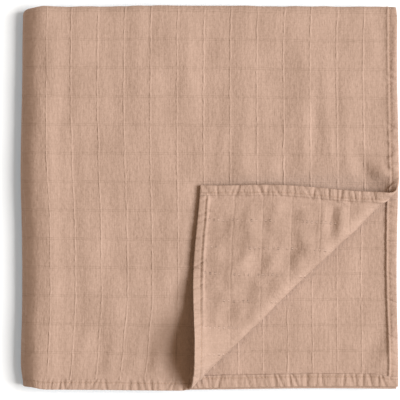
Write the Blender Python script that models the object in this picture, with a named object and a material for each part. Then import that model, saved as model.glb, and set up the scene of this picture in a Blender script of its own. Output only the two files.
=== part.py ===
"""A square double-muslin swaddle blanket, folded to a sixteenth of its area, with one corner turned back.

The blanket is one cut square of cloth, so it is one closed solid. It starts as a flat slab of the cloth,
cut along its crease lines, and every point of that slab is then carried through the corner's roll and
through the four folds, in the order in which a person makes them.

Metres, +Z up. The origin is on the ground under the middle of the folded pack. All four corners of the
cloth lie at +X -Y, the open hems face -Y and +X, and the thick round fold is at -X.
"""

from math import atan2, cos, hypot, pi, sin

import bmesh
import bpy
from mathutils import Vector

# The cloth.
SHEET_SIDE = 1.200
CLOTH_THICKNESS = 0.0010
LAYER_GAP = 0.0003
LAYER_PITCH = CLOTH_THICKNESS + LAYER_GAP
HEM_WIDTH = 0.0080
EDGE_STRIP = 0.0200  # beside the pack's edges, where its outline turns fastest
PANEL_CELLS = 4  # grid cells along the middle of each of the four flat panels between two folds

# The folded pack.
PACK_WIDTH = 0.2950
PACK_DEPTH = 0.3013
CROWN_RISE = 0.06  # how much puffier the stack is in its middle than at its edges, as a share
FOLD_LEAN = 0.30  # how far the thick fold at -X leans inwards, for each metre of height
FOLD_LEAN_REACH = 0.040

# The folds, first to last. Each turns the cloth on its side of a line under the rest.
# axis: 0 for X and 1 for Y; side: the direction that turns under; layers: how many bend together.
FOLDS = (
    dict(axis=0, side=-1, layers=1, segments=3),
    dict(axis=1, side=+1, layers=2, segments=4),
    dict(axis=1, side=+1, layers=4, segments=5),
    dict(axis=0, side=-1, layers=8, segments=7),
)
LAYERS = 2 ** len(FOLDS)

# How far each cloth corner ends up from the pack's own corner, inwards in X and in Y.
SLIP_REACH = 0.280
CORNER_SLIPS = (
    dict(sheet_x=+1, sheet_y=-1, slip_x=0.0000, slip_y=0.0000),
    dict(sheet_x=-1, sheet_y=-1, slip_x=0.0002, slip_y=0.0028),
    dict(sheet_x=-1, sheet_y=+1, slip_x=0.0016, slip_y=0.0008),
    dict(sheet_x=+1, sheet_y=+1, slip_x=0.0030, slip_y=0.0034),
)

# The top layer's corner, turned back along a diagonal as a loose roll. It slopes down to the cloth's tip,
# and at the front end of the roll it stands open and rises instead.
FLAP_RIGHT = 0.1590  # from the cloth's corner along the +X hem to the fold
FLAP_FRONT = 0.1650  # from the cloth's corner along the -Y hem to the fold
ROLL_RADIUS_RIGHT = 0.0055
ROLL_RADIUS_FRONT = 0.0040
LIFT_START = 0.160  # along the fold, from its +X end
LIFT_LENGTH = 0.068
LIFT_ANGLE = 0.80  # at the front end, in radians
LIFT_POWER = 1.4
BULGE_HEIGHT = 0.0145  # how much further the flap's free hem bulges up near the front end
BULGE_START = 0.178  # along the fold
BULGE_LENGTH = 0.026
BULGE_RUN = 0.0185  # the least run of cloth, from the roll's crest to the hem, over which it rises
ROLL_SEGMENTS = 9
FLAP_CELLS = 4
TIP_CLEARANCE = 0.0004  # between the flap's tip and the layer that it lies on
HEM_BOW = 0.0026  # how far the flap's two hems bow outwards, a little way from the tip
HEM_BOW_LENGTH = 0.130
HEM_BOW_REACH = 0.050

# The pack's corners, each drawn in a little over a short stretch.
PACK_CORNERS = (
    dict(side_x=-1, side_y=-1, drawn_in=0.0042, reach=0.0120),
    dict(side_x=-1, side_y=+1, drawn_in=0.0016, reach=0.0080),
    dict(side_x=+1, side_y=+1, drawn_in=0.0010, reach=0.0060),
)

# Slow waves of the outline: amplitude, wavelength and phase, in each direction.
OUTLINE_WAVES = (
    dict(moves=0, along=1, height=0.0006, length=0.170, phase=0.6),
    dict(moves=1, along=0, height=0.0004, length=0.210, phase=2.1),
)


def bend_radius(fold):
    """The radius to which the outermost of the bent layers curls, at its middle surface."""
    return (fold["layers"] - 0.5) * LAYER_PITCH


def fold_lines():
    """The place of each fold, worked out so that the hems meet and the pack gets its width and depth."""
    half_width = PACK_WIDTH / 2
    half_depth = PACK_DEPTH / 2
    radii = [bend_radius(fold) for fold in FOLDS]
    return (
        half_width - (SHEET_SIDE - pi * radii[0]) / 2,
        (SHEET_SIDE - pi * radii[1]) / 2 - half_depth,
        half_depth - radii[2] - CLOTH_THICKNESS / 2,
        radii[3] + CLOTH_THICKNESS / 2 - half_width,
    )


def fold_under(point, fold, line):
    """Carry a point round one fold. Height 0 is the middle of the top layer."""
    axis = fold["axis"]
    side = fold["side"]
    radius = bend_radius(fold)
    past = side * (point[axis] - line)
    if past <= 0:
        return point
    angle = min(past / radius, pi)
    beyond = max(past - pi * radius, 0)
    own_radius = radius + point.z
    folded = point.copy()
    folded[axis] = line + side * (own_radius * sin(angle) - beyond)
    folded.z = own_radius * cos(angle) - radius
    return folded


def hem_bow(distance):
    """How far a hem of the flap bows out, at a distance along it from the cloth's corner."""
    if distance <= 0 or distance >= HEM_BOW_LENGTH:
        return 0
    return HEM_BOW * sin(pi * distance / HEM_BOW_LENGTH) ** 2


def settle_in_plane(point):
    """Shift the flat cloth a little, so that its layers don't line up perfectly once it is folded."""
    edges_x = {+1: PACK_WIDTH / 2, -1: PACK_WIDTH / 2 - SHEET_SIDE}
    edges_y = {-1: -PACK_DEPTH / 2, +1: SHEET_SIDE - PACK_DEPTH / 2}
    moved = point.copy()
    for corner in CORNER_SLIPS:
        gap_x = (point.x - edges_x[corner["sheet_x"]]) / SLIP_REACH
        gap_y = (point.y - edges_y[corner["sheet_y"]]) / SLIP_REACH
        share = max(1 - gap_x**2, 0) * max(1 - gap_y**2, 0)
        moved.x -= corner["sheet_x"] * corner["slip_x"] * share
        moved.y -= corner["sheet_y"] * corner["slip_y"] * share
    from_right = edges_x[+1] - point.x
    from_front = point.y - edges_y[-1]
    moved.x += hem_bow(from_front) * max(1 - from_right / HEM_BOW_REACH, 0)
    moved.y -= hem_bow(from_right) * max(1 - from_front / HEM_BOW_REACH, 0)
    return moved


class CornerFlap:
    """The turned-back corner: its diagonal fold line, the cone it rolls round and its slope to the tip."""

    def __init__(self):
        corner = Vector((PACK_WIDTH / 2, -PACK_DEPTH / 2))
        self.start = corner + Vector((0, FLAP_RIGHT))
        end = corner + Vector((-FLAP_FRONT, 0))
        self.length = (end - self.start).length
        self.along = (end - self.start).normalized()
        self.across = Vector((-self.along.y, self.along.x))
        self.taper = (ROLL_RADIUS_FRONT - ROLL_RADIUS_RIGHT) / self.length
        tip = corner - self.start
        radius = self.radius(tip.dot(self.along))
        tip_run = tip.dot(self.across) + radius - pi * radius
        drop = 2 * radius - LAYER_PITCH - TIP_CLEARANCE
        self.tip_slope = atan2(drop, tip_run)

    def radius(self, place):
        """The roll's radius at a place along the fold, at the cloth's middle surface."""
        return ROLL_RADIUS_RIGHT + self.taper * place

    def full_turn(self, place):
        """The angle through which the cloth turns at a place along the fold: over pi where it slopes down."""
        share = min(max((place - LIFT_START) / LIFT_LENGTH, 0), 1)
        return pi + self.tip_slope - LIFT_ANGLE * share**LIFT_POWER

    def bulge(self, place, run, radius):
        """How much higher the bulge carries a point that lies past the roll's crest."""
        share = min(max((place - BULGE_START) / BULGE_LENGTH, 0), 1)
        eased = share * share * (3 - 2 * share)
        crest = radius * pi / 2
        hem_run = (self.length - place) * FLAP_RIGHT / FLAP_FRONT + radius
        return BULGE_HEIGHT * eased * max(run - crest, 0) / max(hem_run - crest, BULGE_RUN)

    def roll(self, point):
        """Carry a point of the top layer round the roll and down the flap's slope."""
        offset = Vector((point.x, point.y)) - self.start
        place = offset.dot(self.along)
        radius = self.radius(place)
        run = offset.dot(self.across) + radius
        if run <= 0:
            return point
        full_turn = self.full_turn(place)
        turn = min(run / radius, full_turn)
        beyond = max(run - radius * full_turn, 0)
        own_radius = radius - point.z
        reach = own_radius * sin(turn) + beyond * cos(full_turn) - radius
        height = radius - own_radius * cos(turn) + beyond * sin(full_turn)
        height += self.bulge(place, run, radius)
        flat = self.start + self.along * place + self.across * reach
        return Vector((flat.x, flat.y, height))

    def cut_lines(self):
        """A point and a normal in the cloth's plane for each line along which the roll and the flap bend."""
        lines = []
        for step in range(ROLL_SEGMENTS + 1):
            turn = (pi + self.tip_slope) * step / ROLL_SEGMENTS
            spread = turn - 1
            place = self.start + self.across * ROLL_RADIUS_RIGHT * spread
            lines.append((place, self.across - self.along * self.taper * spread))
        roll_end = ROLL_RADIUS_RIGHT * (pi + self.tip_slope - 1)
        tip = (FLAP_RIGHT * FLAP_FRONT) / hypot(FLAP_RIGHT, FLAP_FRONT)
        for step in range(1, FLAP_CELLS):
            distance = roll_end + (tip - roll_end) * step / FLAP_CELLS
            lines.append((self.start + self.across * distance, self.across))
        return lines


def shape_pack(point):
    """Give the finished stack its crown, leaning fold and soft outline. Height 0 is the ground here."""
    half = Vector((PACK_WIDTH / 2, PACK_DEPTH / 2))
    crown_x = max(1 - (point.x / half.x) ** 2, 0)
    crown_y = max(1 - (point.y / half.y) ** 2, 0)
    shaped = point.copy()
    shaped.z *= 1 + CROWN_RISE * (crown_x * crown_y) ** 0.5
    near_fold = max(1 - (point.x + half.x) / FOLD_LEAN_REACH, 0)
    shaped.x += FOLD_LEAN * (point.z - LAYERS * LAYER_PITCH / 2) * near_fold**2
    for corner in PACK_CORNERS:
        gap_x = point.x - corner["side_x"] * half.x
        gap_y = point.y - corner["side_y"] * half.y
        share = 2.0 ** (-(gap_x**2 + gap_y**2) / corner["reach"] ** 2)
        shaped.x -= corner["side_x"] * corner["drawn_in"] * share
        shaped.y -= corner["side_y"] * corner["drawn_in"] * share
    for wave in OUTLINE_WAVES:
        swing = sin(2 * pi * point[wave["along"]] / wave["length"] + wave["phase"])
        outwards = point[wave["moves"]] / half[wave["moves"]]
        shaped[wave["moves"]] += wave["height"] * swing * outwards
    return shaped


def bend_lines(fold, line):
    """The places in one fold's bend at which the cloth is creased."""
    width = fold["side"] * pi * bend_radius(fold)
    return [line + width * step / fold["segments"] for step in range(fold["segments"] + 1)]


def other_half(places, fold, line):
    """Where the same places lie on the half that a fold turns under. Those in its bend are left out."""
    mirror = 2 * line + fold["side"] * pi * bend_radius(fold)
    return [mirror - place for place in places if fold["side"] * (place - line) < 0]


def panel_lines(axis, line):
    """Places across the finished pack, from its hem side to the start of its last bend."""
    if axis == 0:
        hem, inwards = PACK_WIDTH / 2, -1
    else:
        hem, inwards = -PACK_DEPTH / 2, +1
    start = hem + inwards * EDGE_STRIP
    end = line - inwards * EDGE_STRIP
    middle = [start + (end - start) * step / PANEL_CELLS for step in range(PANEL_CELLS + 1)]
    return [hem + inwards * HEM_WIDTH, *middle]


def crease_places(axis):
    """Where the flat cloth is cut across one axis. The lines of every layer meet once it is folded."""
    first, second = [
        (fold, line) for fold, line in zip(FOLDS, fold_lines()) if fold["axis"] == axis
    ]
    places = panel_lines(axis, second[1])
    places += other_half(places, *second)
    places += bend_lines(*second)
    places += other_half(places, *first)
    return sorted(places + bend_lines(*first))


def cut(mesh, faces, place, normal):
    """Bisect some faces, with their edges and corners, by an upright plane."""
    edges = {edge for face in faces for edge in face.edges}
    verts = {vert for face in faces for vert in face.verts}
    bmesh.ops.bisect_plane(
        mesh,
        geom=list(faces) + list(edges) + list(verts),
        plane_co=place,
        plane_no=normal,
        dist=1e-6,
    )


def flat_cloth(flap):
    """The cut square of cloth as a closed flat slab, with an edge along every line where it will bend."""
    mesh = bmesh.new()
    bmesh.ops.create_cube(mesh, size=1)
    bmesh.ops.scale(mesh, vec=(SHEET_SIDE, SHEET_SIDE, CLOTH_THICKNESS), verts=mesh.verts)
    middle = Vector((PACK_WIDTH / 2 - SHEET_SIDE / 2, SHEET_SIDE / 2 - PACK_DEPTH / 2, 0))
    bmesh.ops.translate(mesh, vec=middle, verts=mesh.verts)
    for axis in (0, 1):
        normal = Vector((1, 0, 0)) if axis == 0 else Vector((0, 1, 0))
        for place in crease_places(axis):
            cut(mesh, mesh.faces, normal * place, normal)
    for place, normal in flap.cut_lines():
        corner_faces = [
            face
            for face in mesh.faces
            if face.calc_center_median().x > -PACK_WIDTH / 2
            and face.calc_center_median().y < PACK_DEPTH / 2
        ]
        cut(mesh, corner_faces, place.to_3d(), normal.to_3d())
    return mesh


def centre_on_origin(mesh):
    """Put the middle of the finished outline over the origin."""
    for axis in (0, 1):
        places = [vert.co[axis] for vert in mesh.verts]
        middle = (min(places) + max(places)) / 2
        for vert in mesh.verts:
            vert.co[axis] -= middle


def cotton_muslin():
    """Dusty peach cotton muslin, dyed in the piece and washed soft: fully matt."""
    material = bpy.data.materials.new("cotton_muslin")
    material.use_nodes = True
    shader = material.node_tree.nodes["Principled BSDF"]
    shader.inputs["Base Color"].default_value = (0.591, 0.396, 0.296, 1)
    shader.inputs["Roughness"].default_value = 0.9
    shader.inputs["Metallic"].default_value = 0
    return material


def build_blanket():
    """Fold the flat cloth into the pack and make it an object."""
    flap = CornerFlap()
    lines = fold_lines()
    lift = Vector((0, 0, (LAYERS - 1) * LAYER_PITCH + CLOTH_THICKNESS / 2))
    mesh = flat_cloth(flap)
    for vert in mesh.verts:
        point = settle_in_plane(vert.co)
        if point.x > -PACK_WIDTH / 2 and point.y < PACK_DEPTH / 2:
            point = flap.roll(point)
        for fold, line in zip(FOLDS, lines):
            point = fold_under(point, fold, line)
        vert.co = shape_pack(point + lift)
    centre_on_origin(mesh)
    bmesh.ops.triangulate(mesh, faces=mesh.faces)
    blanket_mesh = bpy.data.meshes.new("folded_swaddle_blanket")
    mesh.to_mesh(blanket_mesh)
    mesh.free()
    blanket_mesh.materials.append(cotton_muslin())
    blanket = bpy.data.objects.new("folded_swaddle_blanket", blanket_mesh)
    bpy.context.collection.objects.link(blanket)
    return blanket


for leftover in list(bpy.data.objects):
    bpy.data.objects.remove(leftover, do_unlink=True)
build_blanket()
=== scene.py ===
# %% [markdown]
# # A folded muslin swaddle blanket
#
# The blanket is one hemmed square of double muslin, folded in half four times, with one corner turned
# back. The CAD model fixes where its folds lie. This lesson lays a finer sheet of cloth on the same
# folds, gives it its hems, stitches and woven grid, and lights it from one side.
#
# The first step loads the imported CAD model. It is the frame that everything else has to fit.

# %% Load the fixed frame
import math

import bpy
import numpy as np
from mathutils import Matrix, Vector, noise


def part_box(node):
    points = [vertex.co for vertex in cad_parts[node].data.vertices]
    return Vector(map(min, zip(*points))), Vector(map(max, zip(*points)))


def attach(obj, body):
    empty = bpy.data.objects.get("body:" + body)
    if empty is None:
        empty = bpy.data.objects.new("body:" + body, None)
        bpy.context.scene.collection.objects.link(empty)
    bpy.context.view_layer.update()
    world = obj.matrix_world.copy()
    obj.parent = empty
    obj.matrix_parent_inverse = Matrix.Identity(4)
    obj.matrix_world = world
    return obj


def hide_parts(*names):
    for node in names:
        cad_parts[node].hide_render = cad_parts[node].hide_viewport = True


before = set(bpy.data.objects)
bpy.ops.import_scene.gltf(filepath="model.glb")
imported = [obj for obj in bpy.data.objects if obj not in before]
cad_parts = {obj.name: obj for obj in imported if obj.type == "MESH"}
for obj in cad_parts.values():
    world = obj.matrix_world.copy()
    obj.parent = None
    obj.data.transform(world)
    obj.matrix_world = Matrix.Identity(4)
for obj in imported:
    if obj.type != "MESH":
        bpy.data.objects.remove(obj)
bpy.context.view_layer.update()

NODE = "folded_swaddle_blanket"
pack_low, pack_high = (np.array(corner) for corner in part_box(NODE))
print("folded pack, mm:", np.round((pack_high - pack_low) * 1000, 1))

# %% [markdown]
# ## The cloth's own sizes
#
# A swaddle of this kind is cut 1.2 m square from two loosely woven plies, about a millimetre thick
# together. Sixteen layers of it make the pack. These numbers are the ones that the CAD model is built
# from, so the sheet made here follows the same folds.

# %% Sizes of the cloth and the pack
MM = 0.001
SHEET_SIDE = 1.2
THICKNESS = 1.0 * MM
PITCH = 1.3 * MM  # from one layer to the next
PACK_WIDTH = 0.2950
PACK_DEPTH = 0.3013
LAYERS = 16

RIGHT = PACK_WIDTH / 2
LEFT = RIGHT - SHEET_SIDE
FRONT = -PACK_DEPTH / 2
BACK = FRONT + SHEET_SIDE

FOLDS = (
    dict(axis=0, side=-1, layers=1),
    dict(axis=1, side=+1, layers=2),
    dict(axis=1, side=+1, layers=4),
    dict(axis=0, side=-1, layers=8),
)


def bend_radius(fold):
    """The radius of the outermost layer round a fold, at the middle of its thickness."""
    return (fold["layers"] - 0.5) * PITCH


radii = [bend_radius(fold) for fold in FOLDS]
FOLD_LINES = (
    RIGHT - (SHEET_SIDE - math.pi * radii[0]) / 2,
    FRONT + (SHEET_SIDE - math.pi * radii[1]) / 2,
    PACK_DEPTH / 2 - radii[2] - THICKNESS / 2,
    radii[3] + THICKNESS / 2 - PACK_WIDTH / 2,
)
print("fold lines, mm:", [round(line / MM, 1) for line in FOLD_LINES])

# %% [markdown]
# ## Folding by moving points
#
# Cloth could be folded by simulation, but sixteen layers a third of a millimetre apart would fight each
# other, and the result would miss the CAD model. Instead each fold is a rule for moving points: what
# lies past the fold's line runs round a half circle and back underneath. Applying the four rules in
# turn folds any flat thing that lies on the cloth, so the stitches can use them too.


# %% The folds
def fold_under(points, fold, line):
    """Carry points round one fold. Height 0 is the middle of the top layer."""
    axis = fold["axis"]
    side = fold["side"]
    radius = bend_radius(fold)
    past = side * (points[:, axis] - line)
    angle = np.clip(past / radius, 0, np.pi)
    beyond = np.maximum(past - np.pi * radius, 0)
    own_radius = radius + points[:, 2]
    folded = points.copy()
    folded[:, axis] = line + side * (np.minimum(past, 0) + own_radius * np.sin(angle) - beyond)
    folded[:, 2] = np.where(past > 0, own_radius * np.cos(angle) - radius, points[:, 2])
    return folded


def fold_all(points):
    """Fold the flat cloth into the pack, in the order in which a person folds it."""
    for fold, line in zip(FOLDS, FOLD_LINES):
        points = fold_under(points, fold, line)
    return points


# %% [markdown]
# ## The turned-back corner
#
# The top layer's corner is rolled back along a diagonal. Over most of its length the roll is a few
# millimetres in radius and the flap slopes gently down until its tip lies on the cloth. Towards the
# front hem the roll stands open, so there the flap rises away from the fold. One function gives the
# angle through which the cloth has turned at each place along the fold, and that sets the slope.

# %% The corner's roll and flap
FLAP_RIGHT = 0.1590
FLAP_FRONT = 0.1650
ROLL_RADIUS_RIGHT = 5.5 * MM
ROLL_RADIUS_FRONT = 4.0 * MM
LIFT_START = 0.160
LIFT_LENGTH = 0.068
LIFT_ANGLE = 0.80
LIFT_POWER = 1.4
BULGE_HEIGHT = 14.5 * MM
BULGE_START = 0.178
BULGE_LENGTH = 0.026
BULGE_RUN = 18.5 * MM
TIP_CLEARANCE = 0.4 * MM

corner = np.array([RIGHT, FRONT])
fold_start = corner + [0, FLAP_RIGHT]
fold_end = corner - [FLAP_FRONT, 0]
fold_length = float(np.linalg.norm(fold_end - fold_start))
along_fold = (fold_end - fold_start) / fold_length
across_fold = np.array([-along_fold[1], along_fold[0]])


def roll_radius(place):
    """The roll's radius at a place along the fold."""
    return ROLL_RADIUS_RIGHT + (ROLL_RADIUS_FRONT - ROLL_RADIUS_RIGHT) * place / fold_length


def tip_slope():
    """The slope that brings the flap's tip down on the layer below."""
    tip = corner - fold_start
    radius = roll_radius(tip @ along_fold)
    run = tip @ across_fold + radius - math.pi * radius
    return math.atan2(2 * radius - PITCH - TIP_CLEARANCE, run)


def bulge(place, run, radius):
    """How much higher the cloth bulges near the front hem, past the roll's crest."""
    share = np.clip((place - BULGE_START) / BULGE_LENGTH, 0, 1)
    eased = share * share * (3 - 2 * share)
    crest = radius * math.pi / 2
    hem_run = (fold_length - place) * FLAP_RIGHT / FLAP_FRONT + radius
    return BULGE_HEIGHT * eased * np.maximum(run - crest, 0) / np.maximum(hem_run - crest, BULGE_RUN)


def roll_corner(points):
    """Carry the top layer's points round the roll and down, or up, the flap."""
    offset = points[:, :2] - fold_start
    place = offset @ along_fold
    radius = roll_radius(place)
    run = offset @ across_fold + radius
    share = np.clip((place - LIFT_START) / LIFT_LENGTH, 0, 1)
    full_turn = math.pi + tip_slope() - LIFT_ANGLE * share**LIFT_POWER
    turn = np.clip(run / radius, 0, full_turn)
    beyond = np.maximum(run - radius * full_turn, 0)
    own_radius = radius - points[:, 2]
    reach = own_radius * np.sin(turn) + beyond * np.cos(full_turn) - radius
    rolled = points.copy()
    rolled[:, :2] = fold_start + np.outer(place, along_fold) + np.outer(reach, across_fold)
    rolled[:, 2] = radius - own_radius * np.cos(turn) + beyond * np.sin(full_turn)
    rolled[:, 2] += bulge(place, run, radius)
    in_corner = (run > 0) & (points[:, 0] > -PACK_WIDTH / 2) & (points[:, 1] < PACK_DEPTH / 2)
    return np.where(in_corner[:, None], rolled, points)


# Where the roll meets the hem on the right, the top layer stands up in a short shoulder.
SHOULDER_HEIGHT = 6.5 * MM
SHOULDER_WIDTH = 13 * MM
SHOULDER_LENGTH = 17 * MM
SHOULDER_BACK = 3 * MM  # from the fold towards the back


def shoulder(points):
    """How much the shoulder lifts each point of the top layer."""
    from_right = (RIGHT - points[:, 0]) / SHOULDER_WIDTH
    from_start = (points[:, 1] - fold_start[1] - SHOULDER_BACK) / SHOULDER_LENGTH
    on_layer = (points[:, 0] > -PACK_WIDTH / 2) & (points[:, 1] < PACK_DEPTH / 2)
    return SHOULDER_HEIGHT * np.exp(-(from_right**2) - from_start**2) * on_layer


print("flap slopes to its tip at", round(math.degrees(tip_slope()), 1), "degrees")

# %% [markdown]
# ## Uneven edges
#
# Nobody folds cloth perfectly. The four corners of the cloth end up a few millimetres apart, the hems
# near the tip of the flap bow outwards, the pack's corners are drawn in, its thick fold leans inwards,
# and its middle is a little puffier than its edges. Small shifts before and after folding give it that.

# %% Slips, bows and the pack's outline
SLIP_REACH = 0.280
CORNER_SLIPS = (
    dict(sheet_x=-1, sheet_y=-1, slip_x=0.2 * MM, slip_y=2.8 * MM),
    dict(sheet_x=-1, sheet_y=+1, slip_x=1.6 * MM, slip_y=0.8 * MM),
    dict(sheet_x=+1, sheet_y=+1, slip_x=3.0 * MM, slip_y=3.4 * MM),
)
HEM_BOW = 2.6 * MM
HEM_BOW_LENGTH = 0.130
HEM_BOW_REACH = 0.050
CROWN_RISE = 0.06
FOLD_LEAN = 0.45
FOLD_LEAN_REACH = 0.040
PACK_CORNERS = (
    dict(side_x=-1, side_y=-1, drawn_in=1.9 * MM, reach=9 * MM),
    dict(side_x=-1, side_y=+1, drawn_in=0.9 * MM, reach=16 * MM),
    dict(side_x=+1, side_y=+1, drawn_in=1.0 * MM, reach=6 * MM),
)
OUTLINE_WAVES = (
    dict(moves=0, along=1, height=0.6 * MM, length=0.170, phase=0.6),
    dict(moves=1, along=0, height=0.4 * MM, length=0.210, phase=2.1),
)


def hem_bow(distance):
    """How far a hem of the flap bows out, at a distance along it from the cloth's corner."""
    inside = (distance > 0) & (distance < HEM_BOW_LENGTH)
    return np.where(inside, HEM_BOW * np.sin(np.pi * distance / HEM_BOW_LENGTH) ** 2, 0)


def settle(points):
    """Shift the flat cloth a little, so that its layers don't line up perfectly."""
    moved = points.copy()
    edges_x = {+1: RIGHT, -1: LEFT}
    edges_y = {-1: FRONT, +1: BACK}
    for slip in CORNER_SLIPS:
        gap_x = (points[:, 0] - edges_x[slip["sheet_x"]]) / SLIP_REACH
        gap_y = (points[:, 1] - edges_y[slip["sheet_y"]]) / SLIP_REACH
        share = np.maximum(1 - gap_x**2, 0) * np.maximum(1 - gap_y**2, 0)
        moved[:, 0] -= slip["sheet_x"] * slip["slip_x"] * share
        moved[:, 1] -= slip["sheet_y"] * slip["slip_y"] * share
    from_right = RIGHT - points[:, 0]
    from_front = points[:, 1] - FRONT
    moved[:, 0] += hem_bow(from_front) * np.maximum(1 - from_right / HEM_BOW_REACH, 0)
    moved[:, 1] -= hem_bow(from_right) * np.maximum(1 - from_front / HEM_BOW_REACH, 0)
    return moved


def shape_pack(points):
    """Give the stack its crown, drawn-in corners and slow waves. Height 0 is the ground."""
    half = np.array([PACK_WIDTH / 2, PACK_DEPTH / 2])
    crown = np.maximum(1 - (points[:, :2] / half) ** 2, 0).prod(axis=1)
    shaped = points.copy()
    shaped[:, 2] *= 1 + CROWN_RISE * np.sqrt(crown)
    near_fold = np.maximum(1 - (points[:, 0] + half[0]) / FOLD_LEAN_REACH, 0)
    shaped[:, 0] += FOLD_LEAN * (points[:, 2] - LAYERS * PITCH / 2) * near_fold**2
    for pulled in PACK_CORNERS:
        gap_x = points[:, 0] - pulled["side_x"] * half[0]
        gap_y = points[:, 1] - pulled["side_y"] * half[1]
        share = 2.0 ** (-(gap_x**2 + gap_y**2) / pulled["reach"] ** 2)
        shaped[:, 0] -= pulled["side_x"] * pulled["drawn_in"] * share
        shaped[:, 1] -= pulled["side_y"] * pulled["drawn_in"] * share
    for wave in OUTLINE_WAVES:
        swing = np.sin(2 * np.pi * points[:, wave["along"]] / wave["length"] + wave["phase"])
        shaped[:, wave["moves"]] += wave["height"] * swing * points[:, wave["moves"]] / half[wave["moves"]]
    return shaped


def to_pack(points):
    """Take points of the flat cloth all the way into the folded pack."""
    lift = np.array([0, 0, (LAYERS - 1) * PITCH + THICKNESS / 2])
    settled = settle(points)
    rolled = roll_corner(settled)
    rolled[:, 2] += shoulder(rolled) * (settled[:, 0] > -PACK_WIDTH / 2) * (settled[:, 1] < PACK_DEPTH / 2)
    return shape_pack(fold_all(rolled) + lift)


# %% [markdown]
# ## The woven grid
#
# Double muslin is woven as two plies that are tied together along the lines of a grid, roughly 21 mm
# by 22 mm. The cells puff up a little between the lines. The lines aren't straight: handling has
# pulled them sideways, most of all near the left of the front hem. The grid is worked out here as a
# pair of running cell numbers, which the relief and the material both read.

# %% Where the grid's lines run
COLUMN_PITCH = 20.9 * MM
FIRST_COLUMN = 27.0 * MM  # from the cloth's right edge
ROW_PITCH = 22.4 * MM
FIRST_ROW = 29.5 * MM  # and from its front edge
UNDER_COLUMN_PITCH = 19.4 * MM  # the second layer shows a slightly closer grid
UNDER_ROW_PITCH = 20.2 * MM
UNDER_FIRST = 28.0 * MM
ROW_SLOPE = -2.2 * MM  # the rows run downhill to the right
TOP_GRID_REACH = 0.30  # the pulled grid fades out this far from the middle of the pack
UNDER_GRID_START = -0.40  # and the closer one starts this far to its left
GRID_FADE = 0.10

# How far the columns are pulled to the right. Each row of the table is a distance from the front hem,
# each column a distance from the pack's left side.
DRIFT_FROM_LEFT = np.array([18, 50, 83, 104, 140]) * MM
DRIFT = (
    dict(from_front=0, pulls=(2.0, -0.6, -3.6, -5.0, 0.0)),
    dict(from_front=34, pulls=(3.2, 2.2, 0.2, -1.4, 0.0)),
    dict(from_front=72, pulls=(3.8, 3.8, 3.0, 1.6, 0.6)),
    dict(from_front=134, pulls=(3.6, 3.4, 2.6, 1.2, 0.6)),
    dict(from_front=188, pulls=(1.0, 2.0, 0.9, 0.2, 0.0)),
    dict(from_front=232, pulls=(0.0, 0.0, 0.0, 0.0, 0.0)),
    dict(from_front=278, pulls=(0.1, 0.2, 0.2, 0.1, 0.2)),
    dict(from_front=304, pulls=(0.8, 1.2, 1.5, 1.0, 1.0)),
)


def eased(value, places):
    """Turn a value into running steps between places, easing in and out of each."""
    step = np.interp(value, places, np.arange(len(places)))
    whole = np.floor(step)
    part = step - whole
    return whole + part * part * (3 - 2 * part)


def column_drift(x, y):
    """How far the grid's columns are pulled to the right at a point of the top layer."""
    rows = eased(y - FRONT, [row["from_front"] * MM for row in DRIFT])
    columns = eased(x + PACK_WIDTH / 2, DRIFT_FROM_LEFT)
    table = np.array([row["pulls"] for row in DRIFT]) * MM
    row = np.clip(np.floor(rows).astype(int), 0, len(DRIFT) - 2)
    column = np.clip(np.floor(columns).astype(int), 0, len(DRIFT_FROM_LEFT) - 2)
    across = columns - column
    upper = table[row + 1, column] * (1 - across) + table[row + 1, column + 1] * across
    lower = table[row, column] * (1 - across) + table[row, column + 1] * across
    return lower + (upper - lower) * (rows - row)


def grid_cells(x, y):
    """Running cell numbers across and along the cloth. A line of the grid is at each whole number."""
    on_top = np.clip((TOP_GRID_REACH + x) / GRID_FADE, 0, 1) * np.clip((TOP_GRID_REACH - y) / GRID_FADE, 0, 1)
    drift = column_drift(x, y) * on_top
    from_right = (RIGHT - x + drift - FIRST_COLUMN) / COLUMN_PITCH
    from_left = (x - LEFT - UNDER_FIRST) / UNDER_COLUMN_PITCH
    columns = np.where(x > (LEFT + RIGHT) / 2, from_right, from_left)
    top_row = (y - FRONT - ROW_SLOPE * on_top * (x / PACK_WIDTH + 0.5) - FIRST_ROW) / ROW_PITCH
    under_row = (y - FRONT - UNDER_FIRST) / UNDER_ROW_PITCH
    under = np.clip((UNDER_GRID_START - x) / GRID_FADE, 0, 1)
    return columns, top_row * (1 - under) + under_row * under


# %% [markdown]
# ## Lines for the sheet's mesh
#
# The flat sheet is a grid of faces. It needs close lines where the cloth bends and along the hems, and
# few where it lies hidden and flat. The lines are placed in the folded pack first, and then found on
# each layer, so that all layers bend at the same places.

# %% Place the mesh lines
HEM_LINES = np.array([0.3, 0.9, 2.2, 4.0, 5.0, 5.7, 6.4, 7.2, 7.9, 8.3, 9.4]) * MM
HEM_WIDTH = 8.1 * MM  # from the cloth's edge to the turned edge
SEAM = 5.7 * MM
SHOWN_CELL = 6 * MM
HIDDEN_CELL = 17 * MM
SHOWN_REACH = 0.2  # from the middle of the pack, towards the rest of the cloth
BEND_SEGMENTS = (5, 6, 9, 12)


def spaced(start, end, cell):
    """Even steps between two places, without the places themselves."""
    steps = max(round(abs(end - start) / cell), 1)
    return list(np.linspace(start, end, steps + 1)[1:-1])


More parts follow.
